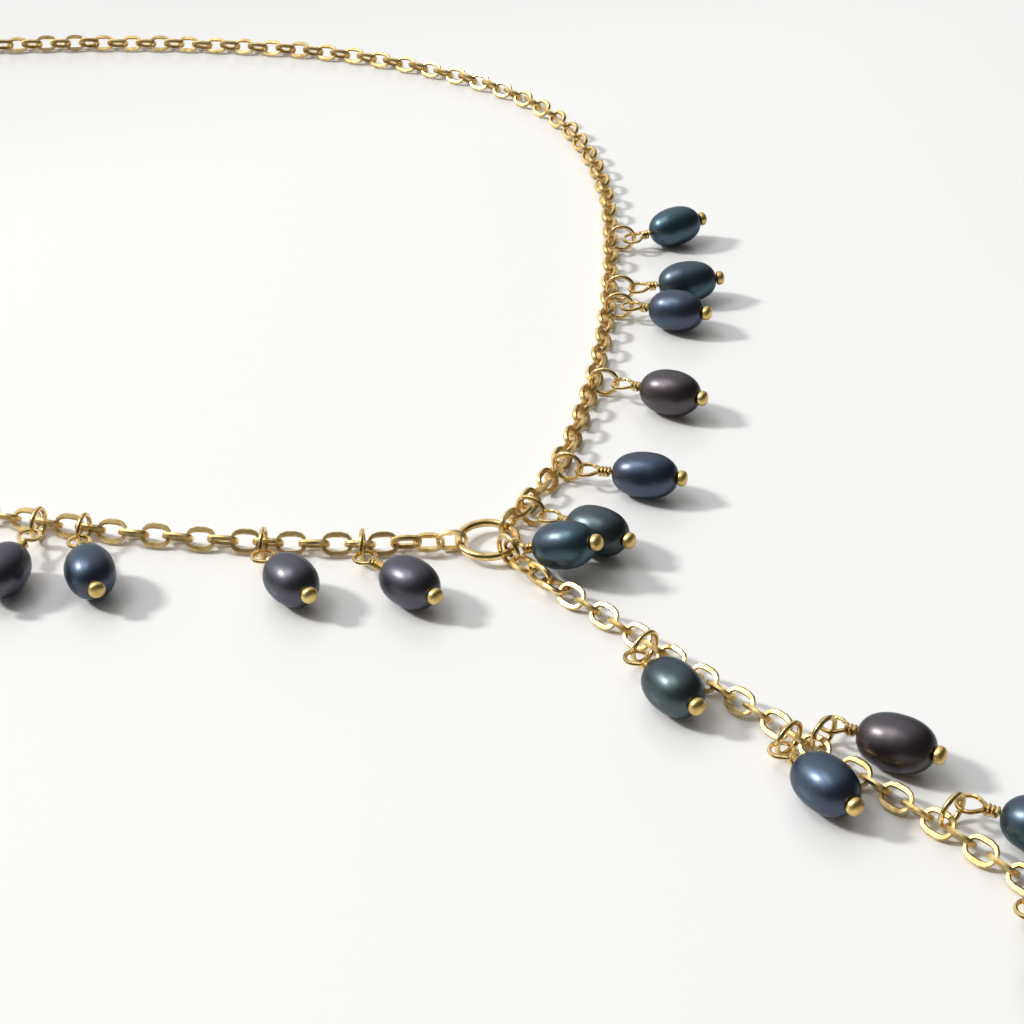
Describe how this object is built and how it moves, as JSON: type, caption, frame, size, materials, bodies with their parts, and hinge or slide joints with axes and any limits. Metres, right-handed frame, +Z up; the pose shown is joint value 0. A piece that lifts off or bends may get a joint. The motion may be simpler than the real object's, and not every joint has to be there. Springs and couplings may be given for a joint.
{
  "type": "pearl necklace",
  "caption": "Y-shaped pearl necklace: cable chain with a centre ring, a drop and dark oval pearls on wrapped head pins, laid flat with the clasp undone.",
  "frame": {"origin": "middle of the space the necklace covers, on the surface it lies on", "axes": "+Z up, +Y from the centre ring towards the clasp, +X to the side the drop leans to"},
  "size_m": [0.2044, 0.2302, 0.0075],
  "materials": {
    "gold_links": "polished, gold plated",
    "gold_ring": "polished, gold plated",
    "gold_pin": "polished, gold plated",
    "gold_clasp": "polished, gold plated",
    "spring_steel": "bright drawn wire",
    "pearl_teal": "nacre lustre",
    "pearl_green": "nacre lustre",
    "pearl_blue": "nacre lustre",
    "pearl_violet": "nacre lustre",
    "pearl_plum": "nacre lustre"
  },
  "bodies": {
    "neck": {"centre_ring": "gold_ring", "right_chain_front": "gold_links", "left_chain": "gold_links", "end_tag": "gold_clasp"},
    "back_chain": {"right_chain_back": "gold_links", "clasp_ring": "gold_ring", "clasp_body": "gold_clasp", "clasp_rivet": "gold_clasp", "clasp_spring": "spring_steel"},
    "lever": {"clasp_lever": "gold_clasp"},
    "drop_top": {"drop_ring": "gold_ring", "drop_chain_upper": "gold_links"},
    "drop_tail": {"drop_chain_lower": "gold_links"},
    "pendant_right_1": {"ring_right_1": "gold_ring", "pin_right_1": "gold_pin"},
    "pearl_right_1_turn": {"pearl_right_1": "pearl_green"},
    "pendant_right_2": {"ring_right_2": "gold_ring", "pin_right_2": "gold_pin"},
    "pearl_right_2_turn": {"pearl_right_2": "pearl_blue"},
    "pendant_right_3": {"ring_right_3": "gold_ring", "pin_right_3": "gold_pin"},
    "pearl_right_3_turn": {"pearl_right_3": "pearl_plum"},
    "pendant_right_4": {"ring_right_4": "gold_ring", "pin_right_4": "gold_pin"},
    "pearl_right_4_turn": {"pearl_right_4": "pearl_blue"},
    "pendant_right_5": {"ring_right_5": "gold_ring", "pin_right_5": "gold_pin"},
    "pearl_right_5_turn": {"pearl_right_5": "pearl_teal"},
    "pendant_right_6": {"ring_right_6": "gold_ring", "pin_right_6": "gold_pin"},
    "pearl_right_6_turn": {"pearl_right_6": "pearl_teal"},
    "pendant_left_1": {"ring_left_1": "gold_ring", "pin_left_1": "gold_pin"},
    "pearl_left_1_turn": {"pearl_left_1": "pearl_violet"},
    "pendant_left_2": {"ring_left_2": "gold_ring", "pin_left_2": "gold_pin"},
    "pearl_left_2_turn": {"pearl_left_2": "pearl_violet"},
    "pendant_left_3": {"ring_left_3": "gold_ring", "pin_left_3": "gold_pin"},
    "pearl_left_3_turn": {"pearl_left_3": "pearl_blue"},
    "pendant_left_4": {"ring_left_4": "gold_ring", "pin_left_4": "gold_pin"},
    "pearl_left_4_turn": {"pearl_left_4": "pearl_violet"},
    "pendant_drop_2": {"ring_drop_2": "gold_ring", "pin_drop_2": "gold_pin"},
    "pearl_drop_2_turn": {"pearl_drop_2": "pearl_green"},
    "pendant_drop_3": {"ring_drop_3": "gold_ring", "pin_drop_3": "gold_pin"},
    "pearl_drop_3_turn": {"pearl_drop_3": "pearl_blue"},
    "pendant_drop_4": {"ring_drop_4": "gold_ring", "pin_drop_4": "gold_pin"},
    "pearl_drop_4_turn": {"pearl_drop_4": "pearl_plum"},
    "pendant_drop_5": {"ring_drop_5": "gold_ring", "pin_drop_5": "gold_pin"},
    "pearl_drop_5_turn": {"pearl_drop_5": "pearl_teal"},
    "pendant_drop_6": {"ring_drop_6": "gold_ring", "pin_drop_6": "gold_pin"},
    "pearl_drop_6_turn": {"pearl_drop_6": "pearl_green"},
    "pendant_drop_1": {"pin_drop_1": "gold_pin"},
    "pearl_drop_1_turn": {"pearl_drop_1": "pearl_teal"}
  },
  "joints": [
    {"name": "back_chain_swing", "type": "hinge", "parent": "neck", "child": "back_chain", "pos_m": [0.05616, 0.07429, 0.00131], "axis": [0, 0, 1], "range_deg": [-20, 0]},
    {"name": "drop_swing", "type": "hinge", "parent": "neck", "child": "drop_top", "pos_m": [0.04312, -0.04185, 0.0014], "axis": [0, 0, 1], "range_deg": [-12, 0]},
    {"name": "drop_bend", "type": "hinge", "parent": "drop_top", "child": "drop_tail", "pos_m": [0.06613, -0.06678, 0.00131], "axis": [0, 0, 1], "range_deg": [-12, 12]},
    {"name": "clasp_lever_hinge", "type": "hinge", "parent": "back_chain", "child": "lever", "pos_m": [-0.06291, 0.1111, 0.0011], "axis": [0, 0, 1], "range_deg": [-25, 0], "stiffness_Nm_per_rad": 0.002, "springref_deg": 8.59},
    {"name": "lift_right_1", "type": "hinge", "parent": "neck", "child": "pendant_right_1", "pos_m": [0.04758, -0.03648, 0.00212], "axis": [-0.5024, -0.8646, 0], "range_deg": [0, 70]},
    {"name": "turn_right_1", "type": "hinge", "parent": "pendant_right_1", "child": "pearl_right_1_turn", "pos_m": [0.05609, -0.04235, 0.00303], "axis": [0.8027, -0.5867, 0.1074], "continuous": true},
    {"name": "lift_right_2", "type": "hinge", "parent": "neck", "child": "pendant_right_2", "pos_m": [0.05215, -0.02701, 0.00212], "axis": [-0.3643, -0.9313, 0], "range_deg": [0, 70]},
    {"name": "turn_right_2", "type": "hinge", "parent": "pendant_right_2", "child": "pearl_right_2_turn", "pos_m": [0.06245, -0.03042, 0.00298], "axis": [0.9501, -0.2971, 0.0948], "continuous": true},
    {"name": "lift_right_3", "type": "hinge", "parent": "neck", "child": "pendant_right_3", "pos_m": [0.05743, -0.00677, 0.00212], "axis": [-0.1869, -0.9824, 0], "range_deg": [0, 70]},
    {"name": "turn_right_3", "type": "hinge", "parent": "pendant_right_3", "child": "pearl_right_3_turn", "pos_m": [0.0668, -0.01113, 0.00308], "axis": [0.8625, -0.4934, 0.1124], "continuous": true},
    {"name": "lift_right_4", "type": "hinge", "parent": "neck", "child": "pendant_right_4", "pos_m": [0.06034, 0.0139, 0.00212], "axis": [-0.0956, -0.9954, 0], "range_deg": [0, 70]},
    {"name": "turn_right_4", "type": "hinge", "parent": "pendant_right_4", "child": "pearl_right_4_turn", "pos_m": [0.06912, 0.01098, 0.00303], "axis": [0.9101, -0.3955, 0.1233], "continuous": true},
    {"name": "lift_right_5", "type": "hinge", "parent": "neck", "child": "pendant_right_5", "pos_m": [0.0608, 0.01909, 0.00212], "axis": [-0.0797, -0.9968, 0], "range_deg": [0, 70]},
    {"name": "turn_right_5", "type": "hinge", "parent": "pendant_right_5", "child": "pearl_right_5_turn", "pos_m": [0.07122, 0.01934, 0.00303], "axis": [0.9926, 0.0595, 0.106], "continuous": true},
    {"name": "lift_right_6", "type": "hinge", "parent": "neck", "child": "pendant_right_6", "pos_m": [0.06167, 0.0347, 0.00212], "axis": [-0.0317, -0.9995, 0], "range_deg": [0, 70]},
    {"name": "turn_right_6", "type": "hinge", "parent": "pendant_right_6", "child": "pearl_right_6_turn", "pos_m": [0.07061, 0.03693, 0.00298], "axis": [0.9323, 0.3427, 0.1159], "continuous": true},
    {"name": "lift_left_1", "type": "hinge", "parent": "neck", "child": "pendant_left_1", "pos_m": [0.02829, -0.04349, 0.00212], "axis": [-1, -0.0048, 0], "range_deg": [0, 70]},
    {"name": "turn_left_1", "type": "hinge", "parent": "pendant_left_1", "child": "pearl_left_1_turn", "pos_m": [0.03426, -0.05248, 0.00303], "axis": [0.6824, -0.7247, 0.0951], "continuous": true},
    {"name": "lift_left_2", "type": "hinge", "parent": "neck", "child": "pendant_left_2", "pos_m": [0.01658, -0.04313, 0.00212], "axis": [-0.9978, 0.0659, 0], "range_deg": [0, 70]},
    {"name": "turn_left_2", "type": "hinge", "parent": "pendant_left_2", "child": "pearl_left_2_turn", "pos_m": [0.02062, -0.05198, 0.00303], "axis": [0.559, -0.8218, 0.1102], "continuous": true},
    {"name": "lift_left_3", "type": "hinge", "parent": "neck", "child": "pendant_left_3", "pos_m": [-0.00503, -0.04022, 0.00212], "axis": [-0.9801, 0.1985, 0], "range_deg": [0, 70]},
    {"name": "turn_left_3", "type": "hinge", "parent": "pendant_left_3", "child": "pearl_left_3_turn", "pos_m": [-0.00272, -0.0504, 0.00303], "axis": [0.3492, -0.9315, 0.1021], "continuous": true},
    {"name": "lift_left_4", "type": "hinge", "parent": "neck", "child": "pendant_left_4", "pos_m": [-0.0107, -0.03896, 0.00212], "axis": [-0.9729, 0.2312, 0], "range_deg": [0, 70]},
    {"name": "turn_left_4", "type": "hinge", "parent": "pendant_left_4", "child": "pearl_left_4_turn", "pos_m": [-0.01272, -0.05003, 0.00298], "axis": [-0.1621, -0.9826, 0.0904], "continuous": true},
    {"name": "lift_drop_2", "type": "hinge", "parent": "drop_top", "child": "pendant_drop_2", "pos_m": [0.06124, -0.06273, 0.00212], "axis": [-0.682, 0.7314, 0], "range_deg": [0, 70]},
    {"name": "turn_drop_2", "type": "hinge", "parent": "pendant_drop_2", "child": "pearl_drop_2_turn", "pos_m": [0.0632, -0.07105, 0.00303], "axis": [0.512, -0.8521, 0.1088], "continuous": true},
    {"name": "lift_drop_3", "type": "hinge", "parent": "drop_tail", "child": "pendant_drop_3", "pos_m": [0.07543, -0.07783, 0.00212], "axis": [-0.6947, 0.7193, 0], "range_deg": [0, 38]},
    {"name": "turn_drop_3", "type": "hinge", "parent": "pendant_drop_3", "child": "pearl_drop_3_turn", "pos_m": [0.07759, -0.08619, 0.00303], "axis": [0.5269, -0.8431, 0.1074], "continuous": true},
    {"name": "lift_drop_4", "type": "hinge", "parent": "drop_tail", "child": "pendant_drop_4", "pos_m": [0.07798, -0.07813, 0.00212], "axis": [0.6988, -0.7153, 0], "range_deg": [0, 38]},
    {"name": "turn_drop_4", "type": "hinge", "parent": "pendant_drop_4", "child": "pearl_drop_4_turn", "pos_m": [0.08569, -0.08013, 0.00313], "axis": [0.8249, -0.5495, 0.1323], "continuous": true},
    {"name": "lift_drop_5", "type": "hinge", "parent": "drop_tail", "child": "pendant_drop_5", "pos_m": [0.0893, -0.08974, 0.00212], "axis": [0.6846, -0.7289, 0], "range_deg": [0, 70]},
    {"name": "turn_drop_5", "type": "hinge", "parent": "pendant_drop_5", "child": "pearl_drop_5_turn", "pos_m": [0.09804, -0.0923, 0.00303], "axis": [0.8362, -0.5388, 0.1021], "continuous": true},
    {"name": "lift_drop_6", "type": "hinge", "parent": "drop_tail", "child": "pendant_drop_6", "pos_m": [0.0966, -0.10026, 0.00212], "axis": [-0.6552, 0.7555, 0], "range_deg": [0, 70]},
    {"name": "turn_drop_6", "type": "hinge", "parent": "pendant_drop_6", "child": "pearl_drop_6_turn", "pos_m": [0.09636, -0.10968, 0.00313], "axis": [0.2222, -0.9679, 0.1173], "continuous": true},
    {"name": "lift_drop_1", "type": "hinge", "parent": "neck", "child": "pendant_drop_1", "pos_m": [0.04599, -0.04386, 0.0014], "axis": [-0.5736, -0.8192, 0], "range_deg": [0, 50]},
    {"name": "turn_drop_1", "type": "hinge", "parent": "pendant_drop_1", "child": "pearl_drop_1_turn", "pos_m": [0.05205, -0.04695, 0.0043], "axis": [0.8219, -0.4188, 0.3862], "continuous": true}
  ]
}
